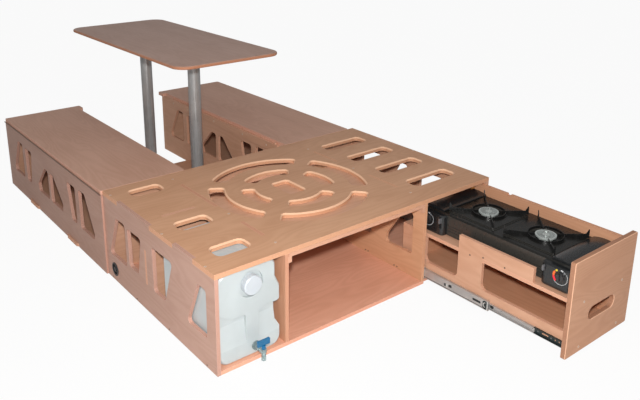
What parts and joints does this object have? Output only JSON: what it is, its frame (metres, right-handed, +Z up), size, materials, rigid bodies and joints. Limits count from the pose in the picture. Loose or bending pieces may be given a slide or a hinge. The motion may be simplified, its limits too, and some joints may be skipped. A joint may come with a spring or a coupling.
{
  "type": "camping box module",
  "caption": "Plywood camper box with a pull-out stove drawer, a water canister, two storage benches with lids and a table on tube legs.",
  "frame": {"origin": "lower left front corner of the main box, on the floor", "axes": "+X along the box front to the right, +Y from the box towards the benches, +Z up; the drawer pulls towards -Y"},
  "size_m": [1.253, 2.5298, 0.75],
  "materials": {
    "plywood": "clear satin varnish",
    "plywood_pale": "clear satin varnish",
    "hinge_steel": "black satin",
    "zinc_steel": "zinc plated",
    "screw_steel": "bright",
    "chrome_tube": "polished",
    "black_plastic": "fine grain",
    "canister_plastic": "translucent satin",
    "cap_plastic": "smooth",
    "tap_plastic": "clear smooth",
    "lever_plastic": "smooth",
    "stove_enamel": "satin enamel",
    "stove_steel": "satin",
    "burner_alloy": "cast",
    "grate_enamel": "gloss enamel",
    "pod_plastic": "smooth",
    "knob_plastic": "smooth",
    "control_lever": "smooth",
    "catch_brass": "satin"
  },
  "bodies": {
    "box_and_benches": {"top_panel": "plywood", "left_side_panel": "plywood", "right_side_panel": "plywood", "left_divider": "plywood", "right_divider": "plywood", "back_panel": "plywood", "bottom_panel": "plywood", "bay_cross_panel": "plywood", "board_cleats": "plywood", "stop_batten": "plywood", "left_bench_outer_side": "plywood", "left_bench_inner_side": "plywood", "left_bench_ends": "plywood", "left_bench_floor": "plywood", "right_bench_outer_side": "plywood", "right_bench_inner_side": "plywood", "right_bench_ends": "plywood", "right_bench_floor": "plywood", "left_ledge": "plywood", "right_ledge": "plywood", "cross_planks": "plywood", "lid_hinges": "hinge_steel", "top_screws": "screw_steel", "ledge_screws": "screw_steel", "side_fitting": "black_plastic", "leg_sockets": "black_plastic", "slide_outer_members": "zinc_steel", "drawer_catch": "catch_brass"},
    "left_lid": {"left_bench_lid": "plywood"},
    "right_lid": {"right_bench_lid": "plywood"},
    "table": {"table_top": "plywood", "table_legs": "chrome_tube", "table_collars": "black_plastic"},
    "board": {"pull_out_board": "plywood"},
    "slide_middles": {"slide_middle_members": "zinc_steel"},
    "drawer": {"drawer_front": "plywood", "drawer_left_side": "plywood", "drawer_right_side": "plywood", "drawer_back": "plywood", "drawer_floor": "plywood_pale", "drawer_shelf": "plywood", "drawer_front_screws": "screw_steel", "slide_inner_members": "zinc_steel", "stove_body": "stove_enamel", "control_pods": "pod_plastic", "burner_heads": "burner_alloy", "pan_supports": "grate_enamel", "flame_guards": "stove_steel"},
    "front_stove_knob": {"front_knob": "knob_plastic"},
    "rear_stove_knob": {"rear_knob": "knob_plastic"},
    "front_cover": {"front_cartridge_cover": "pod_plastic"},
    "rear_cover": {"rear_cartridge_cover": "pod_plastic"},
    "front_lever": {"front_cartridge_lever": "control_lever"},
    "rear_lever": {"rear_cartridge_lever": "control_lever"},
    "canister": {"canister_body": "canister_plastic", "tap_body": "tap_plastic"},
    "cap": {"canister_cap": "cap_plastic"},
    "tap_handle": {"tap_lever": "lever_plastic"}
  },
  "joints": [
    {"name": "left_lid_hinge", "type": "hinge", "parent": "box_and_benches", "child": "left_lid", "pos_m": [-0.0095, 1.361, 0.324], "axis": [0, -1, 0], "range_deg": [0, 95]},
    {"name": "right_lid_hinge", "type": "hinge", "parent": "box_and_benches", "child": "right_lid", "pos_m": [1.2165, 1.361, 0.324], "axis": [0, 1, 0], "range_deg": [0, 95]},
    {"name": "table_lift", "type": "slide", "parent": "box_and_benches", "child": "table", "axis": [0, 0, 1], "range_m": [0, 0.06]},
    {"name": "board_slide", "type": "slide", "parent": "box_and_benches", "child": "board", "axis": [0, -1, 0], "range_m": [0, 0.35]},
    {"name": "drawer_slide", "type": "slide", "parent": "box_and_benches", "child": "drawer", "axis": [0, -1, 0], "range_m": [-0.5755, 0]},
    {"name": "slide_middle_travel", "type": "slide", "parent": "box_and_benches", "child": "slide_middles", "axis": [0, -1, 0], "range_m": [-0.28775, 0]},
    {"name": "front_knob_turn", "type": "hinge", "parent": "drawer", "child": "front_stove_knob", "pos_m": [0.9137, -0.521, 0.25], "axis": [-1, 0, 0], "range_deg": [0, 170]},
    {"name": "rear_knob_turn", "type": "hinge", "parent": "drawer", "child": "rear_stove_knob", "pos_m": [0.9137, 0.021, 0.25], "axis": [-1, 0, 0], "range_deg": [0, 170]},
    {"name": "front_cover_hinge", "type": "hinge", "parent": "drawer", "child": "front_cover", "pos_m": [1.0735, -0.4745, 0.2868], "axis": [-1, 0, 0], "range_deg": [0, 75]},
    {"name": "rear_cover_hinge", "type": "hinge", "parent": "drawer", "child": "rear_cover", "pos_m": [1.0735, -0.0255, 0.2868], "axis": [1, 0, 0], "range_deg": [0, 18]},
    {"name": "front_lever_slide", "type": "slide", "parent": "drawer", "child": "front_lever", "axis": [0, 0, 1], "range_m": [-0.018, 0]},
    {"name": "rear_lever_slide", "type": "slide", "parent": "drawer", "child": "rear_lever", "axis": [0, 0, 1], "range_m": [-0.018, 0]},
    {"name": "canister_slide", "type": "slide", "parent": "box_and_benches", "child": "canister", "axis": [0, -1, 0], "range_m": [0, 0.4]},
    {"name": "cap_turn", "type": "hinge", "parent": "canister", "child": "cap", "pos_m": [0.134, 0, 0.2613], "axis": [0, -1, 0], "continuous": true},
    {"name": "tap_turn", "type": "hinge", "parent": "canister", "child": "tap_handle", "pos_m": [0.148, -0.03, 0.06], "axis": [0, 0, 1], "range_deg": [0, 90]}
  ],
  "couplings": [
    {"joint": "slide_middle_travel", "follows": "drawer_slide", "ratio": 0.5}
  ]
}
